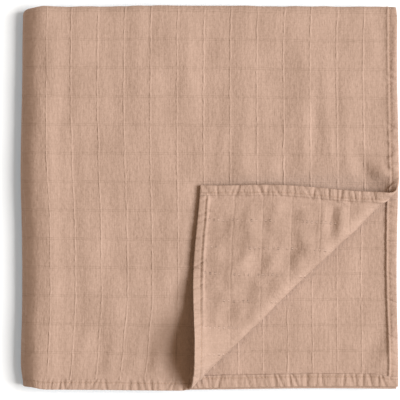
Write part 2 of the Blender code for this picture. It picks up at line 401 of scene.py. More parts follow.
def mesh_lines(axis, low, high, shown):
    """Where the flat sheet's mesh lines lie along one axis."""
    lines = [low, high, *(low + HEM_LINES), *(high - HEM_LINES)]
    edges = [low + HEM_LINES[-1], high - HEM_LINES[-1]]
    first = None
    for fold, line, segments in zip(FOLDS, FOLD_LINES, BEND_SEGMENTS):
        if fold["axis"] != axis:
            continue
        width = fold["side"] * math.pi * bend_radius(fold)
        spans = [(line, line + width)]
        if first is None:
            first = 2 * line + width
        else:
            spans.append((first - line, first - line - width))
        for start, end in spans:
            lines += list(np.linspace(start, end, segments + 1))
            edges += [start, end]
    edges.sort()
    for start, end in zip(edges[::2], edges[1::2]):
        cell = SHOWN_CELL if shown(start, end) else HIDDEN_CELL
        lines += spaced(start, end, cell)
    return np.array(sorted(lines))


x_lines = mesh_lines(0, LEFT, RIGHT, lambda start, end: start > -SHOWN_REACH)
y_lines = mesh_lines(1, FRONT, BACK, lambda start, end: end < SHOWN_REACH)
print(len(x_lines), "lines across and", len(y_lines), "along")

# %% [markdown]
# ## The flat sheet
#
# A plain grid is added at the right number of faces, and its points are moved onto those lines. Then
# the parts that show are divided again: the whole top panel, the corner of the second layer that lies
# bare under the flap, and the hems, which are puckered every few millimetres and so need the closest
# points of all. A Solidify modifier gives the sheet its millimetre of thickness while it is still flat.


# %% Helpers for edit mode
def deselect():
    """Leave nothing selected, so that an operator acts only on what is added next."""
    for thing in bpy.context.selected_objects:
        thing.select_set(False)


def make_active(piece):
    """Select one piece alone."""
    deselect()
    bpy.context.view_layer.objects.active = piece
    piece.select_set(True)


def places_of(mesh):
    """The mesh's points as an array."""
    places = np.empty(len(mesh.vertices) * 3)
    mesh.vertices.foreach_get("co", places)
    return places.reshape(-1, 3)


def subdivide_edges(piece, wanted, cuts):
    """Divide the edges for which wanted(middle, direction) is true."""
    mesh = piece.data
    places = places_of(mesh)
    ends = np.empty(len(mesh.edges) * 2, dtype=int)
    mesh.edges.foreach_get("vertices", ends)
    start, end = places[ends[::2]], places[ends[1::2]]
    chosen = wanted((start + end) / 2, np.abs(end - start))
    mesh.vertices.foreach_set("select", np.zeros(len(mesh.vertices), dtype=bool))
    mesh.polygons.foreach_set("select", np.zeros(len(mesh.polygons), dtype=bool))
    mesh.edges.foreach_set("select", chosen)
    make_active(piece)
    bpy.context.tool_settings.mesh_select_mode = (False, True, False)
    bpy.ops.object.mode_set(mode="EDIT")
    bpy.ops.mesh.subdivide(number_cuts=cuts)
    bpy.ops.object.mode_set(mode="OBJECT")
    return int(chosen.sum())


# %% Add the sheet and move it onto its lines
deselect()
bpy.ops.mesh.primitive_grid_add(
    x_subdivisions=len(x_lines) - 1, y_subdivisions=len(y_lines) - 1, size=2, calc_uvs=False
)
blanket = bpy.context.object
blanket.name = "muslin_blanket"
blanket.data.name = "muslin_blanket"
flat = places_of(blanket.data)
column = np.rint((flat[:, 0] + 1) / 2 * (len(x_lines) - 1)).astype(int)
row = np.rint((flat[:, 1] + 1) / 2 * (len(y_lines) - 1)).astype(int)
flat = np.column_stack([x_lines[column], y_lines[row], np.zeros(len(flat))])
blanket.data.vertices.foreach_set("co", flat.ravel())
print("flat sheet:", len(flat), "points")

# %% Divide the parts that show
HEM_BAND = HEM_LINES[-1] + 0.1 * MM
CORNER_SPAN = 0.175  # the bare corner of the second layer
FOLD_MARGIN = 0.020  # how far round the left fold the front hem still shows
COARSE_INSIDE = SHOWN_CELL * 0.6  # edges longer than this are divided
COARSE_ON_HEM = 2 * MM
LONGEST_ON_HEM = 1.2 * MM  # short enough to carry a crease


def on_top_panel(middle, direction):
    """Edges of the top layer, inside its hems."""
    return (
        (middle[:, 0] > FOLD_LINES[3] - math.pi * radii[3])
        & (middle[:, 0] < RIGHT - HEM_BAND)
        & (middle[:, 1] < FOLD_LINES[2] + math.pi * radii[2])
        & (middle[:, 1] > FRONT + HEM_BAND)
        & (direction.max(axis=1) > COARSE_INSIDE)
    )


def on_bare_corner(middle, direction):
    """Edges of the second layer's corner, inside its hems."""
    return (
        (middle[:, 0] < LEFT + CORNER_SPAN)
        & (middle[:, 0] > LEFT + HEM_BAND)
        & (middle[:, 1] < FRONT + CORNER_SPAN)
        & (middle[:, 1] > FRONT + HEM_BAND)
        & (direction.max(axis=1) > COARSE_INSIDE)
    )


def along_shown_hems(middle, direction):
    """Edges that run along the hems of the top layer and of the bare corner."""
    reach = np.where(middle[:, 0] > -PACK_WIDTH / 2, PACK_DEPTH, CORNER_SPAN)
    front_hem = (middle[:, 1] < FRONT + HEM_BAND) & (direction[:, 0] > direction[:, 1])
    front_hem &= (middle[:, 0] > -PACK_WIDTH / 2 - FOLD_MARGIN) | (middle[:, 0] < LEFT + CORNER_SPAN)
    side_hem = np.minimum(RIGHT - middle[:, 0], middle[:, 0] - LEFT) < HEM_BAND
    side_hem &= (middle[:, 1] < FRONT + reach) & (direction[:, 1] > direction[:, 0])
    return (front_hem | side_hem) & (direction.max(axis=1) > COARSE_ON_HEM)


def still_long(middle, direction):
    """Edges along the shown hems that are still too long to carry their creases."""
    side_hem = middle[:, 0] - LEFT < HEM_BAND
    front_hem = (middle[:, 1] - FRONT < HEM_BAND) & (middle[:, 0] < LEFT + CORNER_SPAN)
    run = np.where(side_hem, direction[:, 1], direction[:, 0])
    too_long = (run > LONGEST_ON_HEM) & (run < 3 * MM)
    return (side_hem | front_hem) & (middle[:, 1] < FRONT + CORNER_SPAN) & too_long


subdivide_edges(blanket, on_top_panel, 1)
subdivide_edges(blanket, on_bare_corner, 3)
subdivide_edges(blanket, along_shown_hems, 7)
subdivide_edges(blanket, still_long, 2)
thicken = blanket.modifiers.new("two plies", "SOLIDIFY")
thicken.thickness = THICKNESS
thicken.offset = 0
make_active(blanket)
bpy.ops.object.modifier_apply(modifier=thicken.name)
blanket.data.calc_loop_triangles()
print("thick sheet:", len(blanket.data.vertices), "points,", len(blanket.data.loop_triangles), "triangles")

# %% [markdown]
# ## Relief of the cloth
#
# Still on the flat sheet, every point is raised or lowered by the cloth's own relief. It has four parts:
# the hems, which are turned to the back and stitched down; the short puckers across them; the cells of
# the grid, which puff up between their tied lines; and slow wrinkles, some listed one by one and some
# made by noise. Only what shows is raised, towards the side that shows, so that hidden layers stay apart.


# %% Noise and easing
def soft_noise(x, y, length_x, length_y, seed):
    """Smooth noise from -1 to 1, with its own length in each direction."""
    scaled = zip(x / length_x, y / length_y)
    return np.array([noise.noise(Vector((a, b, seed))) for a, b in scaled])


def smooth_step(value, low, high):
    """0 below low, 1 above high, and eased between."""
    part = np.clip((value - low) / (high - low), 0, 1)
    return part * part * (3 - 2 * part)


def hump(value, middle, width):
    """1 at the middle, falling away smoothly over the width."""
    return np.exp(-(((value - middle) / width) ** 2))


def upwards(height, softness):
    """The height where it is positive and nearly 0 where it is negative, with no kink between."""
    return (height + np.sqrt(height**2 + softness**2)) / 2


# %% Where things are on the flat cloth
def from_edge(x, y):
    """The distance to the nearest edge of the cloth."""
    return np.maximum(np.min([RIGHT - x, x - LEFT, y - FRONT, BACK - y], axis=0), 0)


def hem_place(x, y):
    """The distance from the hem that a point belongs to, the place along it, and the hem's number.

    Where two hems cross at a corner, the one that was turned last lies on top and is the one counted.
    """
    gaps = np.stack([RIGHT - x, x - LEFT, y - FRONT, BACK - y])
    hem = gaps.argmin(axis=0)
    hem = np.where(gaps[0] < HEM_WIDTH, 0, hem)
    hem = np.where((x < (LEFT + RIGHT) / 2) & (gaps[2] < HEM_WIDTH), 2, hem)
    along = np.where(hem < 2, y - FRONT, x - LEFT)
    return np.maximum(np.take_along_axis(gaps, hem[None], axis=0)[0], 0), along + hem * SHEET_SIDE, hem


def past_fold(x, y):
    """How far a point of the top layer lies past the start of the corner's roll."""
    offset = np.column_stack([x, y]) - fold_start
    return offset @ across_fold + roll_radius(offset @ along_fold)


def layer_below(x):
    """Where a point of the half that the first fold turns under lies below the top layer."""
    return 2 * FOLD_LINES[0] - math.pi * radii[0] - x


# Each zone eases in, or out, between two places.
TOP_STARTS = (-24 * MM, -4 * MM)  # from the fold line on the left
TOP_ENDS = (2 * MM, 10 * MM)  # from the fold line at the back
FLAP_STARTS = (0, 20 * MM)  # past the start of the roll
COVERED_STARTS = (-24 * MM, -10 * MM)  # from the middle of the pack
COVERED_ENDS = (13 * MM, 19 * MM)
BARE_STARTS = (-2 * MM, 10 * MM)  # past the start of the roll above it
BARE_REACH = 0.3


def zones(x, y):
    """How far each point belongs to the top layer, its flap, what the flap covers, and the bare corner."""
    top = smooth_step(x - FOLD_LINES[3], *TOP_STARTS) * (1 - smooth_step(y - FOLD_LINES[2], *TOP_ENDS))
    past = past_fold(x, y)
    flap = smooth_step(past, *FLAP_STARTS) * top
    covered = smooth_step(x, *COVERED_STARTS) * (1 - smooth_step(y, *COVERED_ENDS)) * (past < 0)
    bare = smooth_step(past_fold(layer_below(x), y), *BARE_STARTS)
    bare *= (x < LEFT + BARE_REACH) & (y < FRONT + BARE_REACH)
    return top, flap, covered * top, bare


# %% [markdown]
# ### Hems
#
# The edge of the cloth is turned twice to the back and stitched down, so the back has a step at the
# turned edge, and both sides dip along the seam. The thread has drawn the hem up into short creases,
# each with its own depth, width and lean. They are drawn from one seeded table, so that they come out
# the same each time. Nobody sews quite straight, so the seam and the turned edge wander a little too.

# %% The hems' relief
SEAM_DIP = 0.50 * MM
SEAM_HALF_WIDTH = 0.75 * MM
HEM_STEP = 0.80 * MM
STEP_SOFTNESS = 0.2 * MM
STEP_ON_FACE = 0.10  # the share of the step that shows through on the face
STEP_WHERE_HIDDEN = 0.45  # and the share that is left of it between pressed layers
RIDGE = 0.45 * MM  # along the turned edge, where the folded plies are thickest
RIDGE_INSET = 0.9 * MM
RIDGE_HALF_WIDTH = 0.8 * MM
RIDGE_ON_FACE = 0.6
PUCKER_HEIGHT = 1.00 * MM
PUCKER_REACH = 6 * MM  # past the seam
PUCKER_PITCH = 5.4 * MM
PUCKER_COUNT = 997
PUCKER_DEPTH = (0.25, 1.10)  # least and most
PUCKER_HALF_WIDTH = (0.7 * MM, 1.6 * MM)
PUCKER_LEAN = (-0.35, 0.75)
PUCKER_SHIFT = (-0.35, 0.35)  # in pitches
DEEPEST_PUCKER = 1.2
SEAM_WANDER = 0.7 * MM
SEAM_WANDER_LENGTH = 45 * MM
SEAM_TREMBLE = 0.3 * MM
SEAM_TREMBLE_LENGTH = 11 * MM
WIDER_FRONT_HEM = 2.1 * MM  # how much wider the bare corner's front hem was turned
SIDE_HEM_PIVOT = 52 * MM  # the bare corner's side hem runs askew about this place
SIDE_HEM_SKEW = 1 / 66
SIDE_HEM_LIMITS = (-0.8 * MM, 1.0 * MM)
WANDER_MIDDLE = 7 * MM  # the part of the hem that wanders, between its seam and its turned edge
WANDER_HALF_WIDTH = 3 * MM
WANDER_STARTS = (6 * MM, 20 * MM)  # from the start of the hem
pucker_draws = np.random.default_rng(11).random((4, PUCKER_COUNT))


def drawn_between(draw, limits):
    """A random draw from 0 to 1 as a value between two limits."""
    least, most = limits
    return least + (most - least) * draw


def puckers(edge, along):
    """How deep the creases across a hem are, from 0 to about 1."""
    place = along / PUCKER_PITCH
    depth = np.zeros(len(edge))
    for neighbour in (-1, 0, 1):
        number = np.floor(place).astype(int) + neighbour
        strength, lean, shift, width = pucker_draws[:, number % PUCKER_COUNT]
        slant = drawn_between(lean, PUCKER_LEAN) * (edge - SEAM)
        middle = (number + 0.5 + drawn_between(shift, PUCKER_SHIFT)) * PUCKER_PITCH + slant
        crease = hump(along, middle, drawn_between(width, PUCKER_HALF_WIDTH))
        depth += drawn_between(strength, PUCKER_DEPTH) * crease
    return np.minimum(depth, DEEPEST_PUCKER)


def hem_relief(edge, along, face_side, back_shows):
    """The height of the hem towards the side that shows, and its thickness on each side."""
    step = HEM_STEP * (1 - smooth_step(edge, HEM_WIDTH - STEP_SOFTNESS, HEM_WIDTH + STEP_SOFTNESS))
    near_hem = 1 - smooth_step(edge, SEAM, SEAM + PUCKER_REACH)
    raised = PUCKER_HEIGHT * near_hem * (1 - puckers(edge, along))
    dip = SEAM_DIP * hump(edge, SEAM, SEAM_HALF_WIDTH)
    ridge = RIDGE * hump(edge, HEM_WIDTH - RIDGE_INSET, RIDGE_HALF_WIDTH)
    on_face = STEP_ON_FACE * step + RIDGE_ON_FACE * ridge - dip
    on_back = step * (STEP_WHERE_HIDDEN + (1 - STEP_WHERE_HIDDEN) * back_shows) + ridge - dip
    return raised, np.where(face_side, on_face, -on_back)


def wander(x, y):
    """How far the seam and the turned edge wander sideways: to the right, and to the back."""
    edge, along, hem = hem_place(x, y)
    askew = np.clip((y - FRONT - SIDE_HEM_PIVOT) * SIDE_HEM_SKEW, *SIDE_HEM_LIMITS)
    sideways = SEAM_WANDER * soft_noise(along, 0 * x, SEAM_WANDER_LENGTH, 1, 6.6)
    sideways = np.where(hem == 1, askew, sideways)
    sideways = np.where((hem == 2) & (x < LEFT + CORNER_SPAN), WIDER_FRONT_HEM, sideways)
    sideways += SEAM_TREMBLE * soft_noise(along, 0 * x, SEAM_TREMBLE_LENGTH, 1, 3.3)
    sideways *= hump(edge, WANDER_MIDDLE, WANDER_HALF_WIDTH)
    sideways *= smooth_step(along % SHEET_SIDE, *WANDER_STARTS)
    inwards_x = np.choose(hem, [-1, 1, 0, 0])
    inwards_y = np.choose(hem, [0, 0, 1, -1])
    return sideways * inwards_x, sideways * inwards_y


# %% [markdown]
# ### Wrinkles
#
# The main wrinkles are placed one by one in the cloth's own sizes. Each is a soft ridge or trough with a
# place, a length, a width, a height and a lean, like the marks that a hand would press into clay.

# %% Wrinkles placed one by one
# Places are in millimetres from the pack's left and front sides, on the flat top layer. A lean of 0 runs
# from front to back, and a positive lean turns its far end to the right.
TOP_WRINKLES = (
    dict(left=222, front=200, length=52, width=4.0, height=0.55, lean=4),
    dict(left=231, front=214, length=70, width=3.5, height=-0.50, lean=2),
    dict(left=242, front=196, length=60, width=4.5, height=0.60, lean=-3),
    dict(left=256, front=178, length=34, width=3.5, height=0.65, lean=-14),
    dict(left=266, front=180, length=36, width=3.5, height=-0.50, lean=-20),
    dict(left=275, front=172, length=30, width=4.0, height=0.80, lean=-30),
    dict(left=284, front=169, length=16, width=4.0, height=2.60, lean=-34),
    dict(left=290, front=175, length=9, width=2.2, height=3.40, lean=-48),
    dict(left=291, front=184, length=9, width=2.0, height=3.00, lean=40),
    dict(left=290, front=193, length=8, width=2.0, height=2.60, lean=-52),
    dict(left=291, front=203, length=9, width=2.0, height=2.20, lean=46),
    dict(left=293, front=256, length=70, width=2.4, height=2.20, lean=1),
    dict(left=158, front=192, length=48, width=4.0, height=0.45, lean=8),
    dict(left=206, front=176, length=40, width=4.0, height=-0.40, lean=6),
    dict(left=180, front=240, length=60, width=5.0, height=0.35, lean=2),
    dict(left=130, front=250, length=70, width=5.0, height=0.35, lean=-2),
    dict(left=92, front=30, length=40, width=4.0, height=0.55, lean=12),
    dict(left=106, front=24, length=44, width=4.5, height=0.75, lean=14),
    dict(left=117, front=40, length=66, width=6.0, height=0.90, lean=14),
    dict(left=70, front=26, length=34, width=4.0, height=0.45, lean=14),
    dict(left=48, front=30, length=38, width=4.0, height=0.40, lean=16),
    dict(left=19, front=140, length=400, width=9.5, height=1.40, lean=0),
    # On the flap, whose two hems are the cloth's right and front edges.
    dict(left=273, front=104, length=22, width=2.6, height=-2.00, lean=90),
    dict(left=270, front=97, length=30, width=3.6, height=1.00, lean=84),
    dict(left=274, front=110, length=28, width=3.2, height=1.90, lean=92),
    dict(left=245, front=73, length=18, width=6.0, height=-0.90, lean=62),
    dict(left=236, front=58, length=26, width=5.0, height=0.70, lean=70),
    dict(left=214, front=42, length=20, width=5.5, height=-0.80, lean=80),
    dict(left=226, front=36, length=24, width=5.0, height=0.60, lean=88),
    dict(left=262, front=40, length=22, width=4.5, height=0.55, lean=96),
    dict(left=198, front=26, length=30, width=5.0, height=-0.60, lean=94),
)
BARE_WRINKLES = (
    dict(left=286, front=26, length=46, width=6.0, height=2.60, lean=14),
    dict(left=276, front=30, length=44, width=5.0, height=-0.60, lean=10),
    dict(left=272, front=60, length=60, width=5.0, height=0.40, lean=2),
    dict(left=250, front=38, length=44, width=5.0, height=0.30, lean=-4),
    dict(left=232, front=30, length=40, width=5.0, height=0.30, lean=5),
)


def wrinkle_height(x, y, marks):
    """The height that a table of wrinkles gives at each place."""
    height = np.zeros(len(x))
    for mark in marks:
        gap_x = x + PACK_WIDTH / 2 - mark["left"] * MM
        gap_y = y - FRONT - mark["front"] * MM
        lean = math.radians(mark["lean"])
        across = gap_x * math.cos(lean) - gap_y * math.sin(lean)
        along = gap_x * math.sin(lean) + gap_y * math.cos(lean)
        shape = hump(across, 0, mark["width"] * MM) * hump(along, 0, mark["length"] * MM / 2)
        height += mark["height"] * MM * shape
    return height


# %% Put the relief together
PUFF = 0.44 * MM
PUFF_ACROSS = 0.7  # powers below 1 make a cell flat in the middle and steep at its lines
PUFF_ALONG = 0.5
TOP_WAVES = 1.10 * MM
FLAP_WAVES = 1.85 * MM
BARE_WAVES = 0.60 * MM
LONG_NOISE = (
    dict(across=24 * MM, along=80 * MM, share=1.0, seed=1.3),
    dict(across=10 * MM, along=34 * MM, share=0.6, seed=5.9),
)
SHORT_NOISE = (
    dict(across=17 * MM, along=14 * MM, share=1.0, seed=9.4),
    dict(across=8 * MM, along=7 * MM, share=0.7, seed=2.2),
)
LONG_LIFT = 0.7  # added before the troughs are cut off, so that most of the waves stay
SHORT_LIFT = 0.8
TOP_MARKS = 1.8  # how strongly the placed wrinkles show on the top layer
FLAP_MARKS = 1.5  # and on the flap
SOFTNESS = 0.2 * MM
WAVES_START = (5 * MM, 18 * MM)  # from the cloth's edge
TOP_AT_EDGE = 0.25  # the share of the waves that reaches the very edge
FLAP_AT_EDGE = 0.2


def waves(x, y, noises):
    """The sum of a few sizes of noise."""
    return sum(
        size["share"] * soft_noise(x, y, size["across"], size["along"], size["seed"]) for size in noises
    )


def relief(x, y, face_side):
    """How far each point moves along the sheet's own upward direction."""
    edge, along, _ = hem_place(x, y)
    top, flap, covered, bare = zones(x, y)
    columns, rows = grid_cells(x, y)
    inside = smooth_step(edge, *WAVES_START)
    puff = PUFF * np.abs(np.sin(np.pi * columns)) ** PUFF_ACROSS * np.abs(np.sin(np.pi * rows)) ** PUFF_ALONG
    raised, thickness = hem_relief(edge, along, face_side, np.maximum(flap, bare))
    raised += puff * inside
    slow = waves(x, y, LONG_NOISE) + LONG_LIFT
    short = waves(x, y, SHORT_NOISE) + SHORT_LIFT
    placed = wrinkle_height(x, y, TOP_WRINKLES)
    below = wrinkle_height(layer_below(x), y, BARE_WRINKLES)
    on_top = upwards(TOP_WAVES * slow + TOP_MARKS * placed, SOFTNESS)
    on_flap = upwards(FLAP_WAVES * short + FLAP_MARKS * placed, SOFTNESS)
    on_bare = upwards(BARE_WAVES * slow * inside + below, SOFTNESS)
    up = top * (1 - flap) * (1 - covered) * (on_top * (TOP_AT_EDGE + (1 - TOP_AT_EDGE) * inside) + raised)
    # The flap and the bare corner show their backs, so they are raised the other way.
    up -= top * flap * (on_flap * (FLAP_AT_EDGE + (1 - FLAP_AT_EDGE) * inside) + raised)
    up -= bare * (on_bare + raised)
    return up + thickness * np.maximum(top, bare)


# %% Raise the flat sheet
EDGE_ROUND = 0.9 * MM
LEAST_ROUND = 0.04  # so that the two sides never quite meet at the cut edge

flat = places_of(blanket.data)
x, y = flat[:, 0], flat[:, 1]
face_side = flat[:, 2] > 0
heights = relief(x, y, face_side)
rounding = np.sqrt(1 - (1 - np.clip(from_edge(x, y) / EDGE_ROUND, LEAST_ROUND, 1)) ** 2)
wander_x, wander_y = wander(x, y)
level = np.where(face_side, 1, -1) * THICKNESS / 2
sheet = np.column_stack([x + wander_x, y + wander_y, level * rounding + heights])
print("relief, mm:", round(heights.min() / MM, 2), "to", round(heights.max() / MM, 2))

# %% [markdown]
# ## Maps for the material
#
# The weave has to follow the cloth round its folds, so the material reads maps that are written while
# the sheet is flat: the place on the cut cloth in metres, the running cell numbers of the grid, and the
# distance from the nearest edge with the place along it, for the hems.


# %% Write the maps
def add_map(mesh, name, across, along):
    """A UV map from one pair of numbers for each point."""
    corners = np.empty(len(mesh.loops), dtype=int)
    mesh.loops.foreach_get("vertex_index", corners)
    layer = mesh.uv_layers.new(name=name)
    layer.data.foreach_set("uv", np.column_stack([across[corners], along[corners]]).ravel())


add_map(blanket.data, "cloth_place", x - LEFT, y - FRONT)
add_map(blanket.data, "grid_cells", *grid_cells(x, y))
add_map(blanket.data, "hem_place", *hem_place(x, y)[:2])
print("maps:", [layer.name for layer in blanket.data.uv_layers])

# %% [markdown]
# ## Fold the sheet
#
# All that is left is to carry every point through the folds, and to set the result exactly where the
# CAD model lies.

# %% Fold it
folded = to_pack(sheet)
plain = to_pack(np.column_stack([x, y, flat[:, 2]]))
middle_shift = (pack_low + pack_high)[:2] / 2 - (plain.min(axis=0) + plain.max(axis=0))[:2] / 2
folded[:, :2] += middle_shift
blanket.data.vertices.foreach_set("co", folded.ravel())
blanket.data.update()
blanket.data.shade_smooth()
print("folded, mm:", np.round(np.ptp(folded, axis=0) / MM, 1), "lowest", round(folded[:, 2].min() / MM, 2))

# %% [markdown]
# ## Stitches of the hem
#
# The hem is sewn with one row of stitches, 2.6 mm apart. One stitch is a short, fat grain of thread. It
# is shaped once from a small sphere, an Array modifier sets a whole hem's worth in a row, and the row is
# copied to the four hems and to both sides. Then the stitches are raised and folded as the cloth was.

# %% Shape one stitch and repeat it along a hem
STITCH_PITCH = 2.6 * MM
STITCH_SIZE = (1.9 * MM, 0.46 * MM, 0.34 * MM)
run_length = SHEET_SIDE - 2 * SEAM
stitch_count = int(run_length / STITCH_PITCH)

deselect()
bpy.ops.mesh.primitive_uv_sphere_add(segments=5, ring_count=4, radius=0.5)
stitches = bpy.context.object
stitches.name = "hem_stitches"
stitches.data.name = "hem_stitches"
bpy.ops.object.mode_set(mode="EDIT")
bpy.ops.mesh.select_all(action="SELECT")
bpy.ops.transform.rotate(value=math.pi / 2, orient_axis="Y", center_override=(0, 0, 0))
bpy.ops.transform.resize(value=STITCH_SIZE, center_override=(0, 0, 0))
row_start = (LEFT + SEAM + STITCH_PITCH / 2, FRONT + SEAM, THICKNESS / 2)
bpy.ops.transform.translate(value=row_start)
bpy.ops.object.mode_set(mode="OBJECT")
row = stitches.modifiers.new("row of stitches", "ARRAY")
row.count = stitch_count
row.use_relative_offset = False
row.use_constant_offset = True
row.constant_offset_displace = (STITCH_PITCH, 0, 0)
bpy.ops.object.modifier_apply(modifier=row.name)
print(stitch_count, "stitches in a row,", len(stitches.data.polygons), "faces")

# %% Copy the row to both sides and all four hems
sheet_middle = ((LEFT + RIGHT) / 2, (FRONT + BACK) / 2, 0)
bpy.ops.object.mode_set(mode="EDIT")
bpy.ops.mesh.select_all(action="SELECT")
bpy.ops.mesh.duplicate()
bpy.ops.transform.translate(value=(0, 0, -THICKNESS))
bpy.ops.mesh.select_all(action="SELECT")
for turn in range(3):
    bpy.ops.mesh.duplicate()
    bpy.ops.transform.rotate(value=math.pi / 2, orient_axis="Z", center_override=sheet_middle)
bpy.ops.object.mode_set(mode="OBJECT")

grains = places_of(stitches.data)
seam_x = np.clip(grains[:, 0], LEFT + SEAM, RIGHT - SEAM)
seam_y = np.clip(grains[:, 1], FRONT + SEAM, BACK - SEAM)
wander_x, wander_y = wander(seam_x, seam_y)
grains += np.column_stack([wander_x, wander_y, relief(seam_x, seam_y, grains[:, 2] > 0)])
grains = to_pack(grains)
grains[:, :2] += middle_shift
stitches.data.vertices.foreach_set("co", grains.ravel())
stitches.data.update()
stitches.data.shade_smooth()
print("hem stitches:", 8 * stitch_count)

# %% [markdown]
# ## Finishes
#
# Two short helpers serve every material: one turns an sRGB hex colour into the linear numbers that
# Blender wants, and one adds a node with its settings and links.


# %% Helpers for materials
def linear(hex_colour):
    """An sRGB hex colour as a linear RGBA value."""
    channels = [int(hex_colour[place : place + 2], 16) / 255 for place in (1, 3, 5)]
    return (*[c / 12.92 if c <= 0.04045 else ((c + 0.055) / 1.055) ** 2.4 for c in channels], 1)


def add_node(tree, kind, settings=None, inputs=None):
    """Add a node, set its properties, and set or link its inputs, which a list gives in their order.

    A node that is given as an input links its first output.
    """
    node = tree.nodes.new(kind)
    for name, value in (settings or {}).items():
        setattr(node, name, value)
    given = inputs.items() if isinstance(inputs, dict) else enumerate(inputs or ())
    for name, value in given:
        source = value.outputs[0] if isinstance(value, bpy.types.Node) else value
        if isinstance(source, bpy.types.NodeSocket):
            tree.links.new(source, node.inputs[name])
        else:
            node.inputs[name].default_value = source
    return node


# %% [markdown]
# ### Double cotton muslin
#
# The cloth is piece-dyed cotton gauze, washed so that it crinkles: matt, a little fuzzy, and mottled
# where its threads are uneven. Its face shows the grid as fine raised lines where the plies are tied,
# and their colour is painted paler, a painted highlight on their ridges. On the back, one set of lines is
# a row of small raised tie stitches, painted paler in the same way. Two fine lines beside each row's
# groove and the seam's dip are painted darker, as painted shade. Wave and checker textures would look
# printed, so the threads are noise that is drawn out along the warp or the weft. Real threads lie
# 0.7 mm apart, finer than the render can show, so they are drawn two to four threads wide.

# %% The muslin
CLOTH = "#B1998C"
CLOTH_SHADE = "#8C7668"
MEAN_SHADE = 0.36  # how far the plain cloth is from the first colour to the second
ROUGHNESS = 0.88
ROUGHNESS_CHANGE = 0.2  # with the slubs
MATH = "ShaderNodeMath"

# The grid's lines and the hem, in millimetres from the middle of each to where it has faded out.
CORD_HALF_WIDTH = 1.1
ROW_HALF_WIDTH = 1.3
# The two fine lines of a row are painted shade beside its groove.
PAIR_OFFSET = 0.75  # a row shows as two fine lines, on both sides of its groove
PAIR_HALF_WIDTH = 0.5
SEAM_HALF_SHADE = 0.8
DRAWN_MIDDLE = 4.5
DRAWN_REACH = 6.0
TIE_PITCH = 3.6
TIE_SHARE = 0.44  # of each pitch
TIE_PATCH_LEVEL = -0.05
GRID_WOBBLE = 0.06  # in cells
KNOT_MEAN = 0.8
KNOT_CONTRAST = 2.4

# Each pattern's width and length in millimetres, and how much fine detail it has.
SLUBS = (1.3, 11.0, 3.0)
CRINKLE = (3.2, 17.0, 3.0)
WEFT = (8.0, 1.1, 3.0)
MOTTLE = (3.0, 3.0, 2.0)
CLOUD = (24.0, 46.0, 2.0)
WOBBLE = (9.0, 9.0, 1.0)
KNOTS = (9.0, 5.0, 1.0)
TIE_PATCHES = (13.0, 16.0, 1.0)
DRAWN_HEM = (6.0, 2.0, 3.0)


def scaled_map(tree, name, scale):
    """A UV map's place, and its two numbers, scaled. Metres times 1000 are millimetres."""
    source = add_node(tree, "ShaderNodeUVMap", dict(uv_map=name)).outputs["UV"]
    scaled = add_node(tree, "ShaderNodeMapping", None, {"Vector": source, "Scale": (scale, scale, scale)})
    parts = add_node(tree, "ShaderNodeSeparateXYZ", None, {"Vector": scaled.outputs["Vector"]})
    return scaled.outputs["Vector"], parts.outputs["X"], parts.outputs["Y"]


def product(tree, first, *others):
    """Some values multiplied together."""
    result = first
    for value in others:
        result = add_node(tree, MATH, dict(operation="MULTIPLY"), [result, value])
    return result


def weighted(tree, *terms):
    """The sum of some values, each times its own weight."""
    total = 0.0
    for value, weight in terms:
        total = add_node(tree, MATH, dict(operation="MULTIPLY_ADD"), [value, weight, total])
    return total


def streaks(tree, place_mm, pattern):
    """Noise around 0, with a pattern's width, length and detail."""
    width, length, detail = pattern
    stretched = add_node(
        tree, "ShaderNodeMapping", None, {"Vector": place_mm, "Scale": (1 / width, 1 / length, 1.0)}
    )
    field = add_node(
        tree,
        "ShaderNodeTexNoise",
        dict(noise_dimensions="2D"),
        {"Vector": stretched, "Scale": 1.0, "Detail": detail, "Roughness": 0.6},
    )
    return add_node(tree, MATH, dict(operation="SUBTRACT"), [field, 0.5])


def near_place(tree, distance, place, half_width):
    """1 where a distance equals a place, easing to 0 at half_width from it, all in millimetres."""
    gap = add_node(tree, MATH, dict(operation="SUBTRACT"), [distance, place])
    gap = add_node(tree, MATH, dict(operation="ABSOLUTE"), [gap])
    return add_node(
        tree,
        "ShaderNodeMapRange",
        dict(interpolation_type="SMOOTHSTEP"),
        {"Value": gap, "From Min": 0.0, "From Max": half_width, "To Min": 1.0, "To Max": 0.0},
    )


def from_line(tree, cell, pitch_mm):
    """The distance in millimetres to the nearest line of the grid."""
    return product(tree, add_node(tree, MATH, dict(operation="PINGPONG"), [cell, 0.5]), pitch_mm)


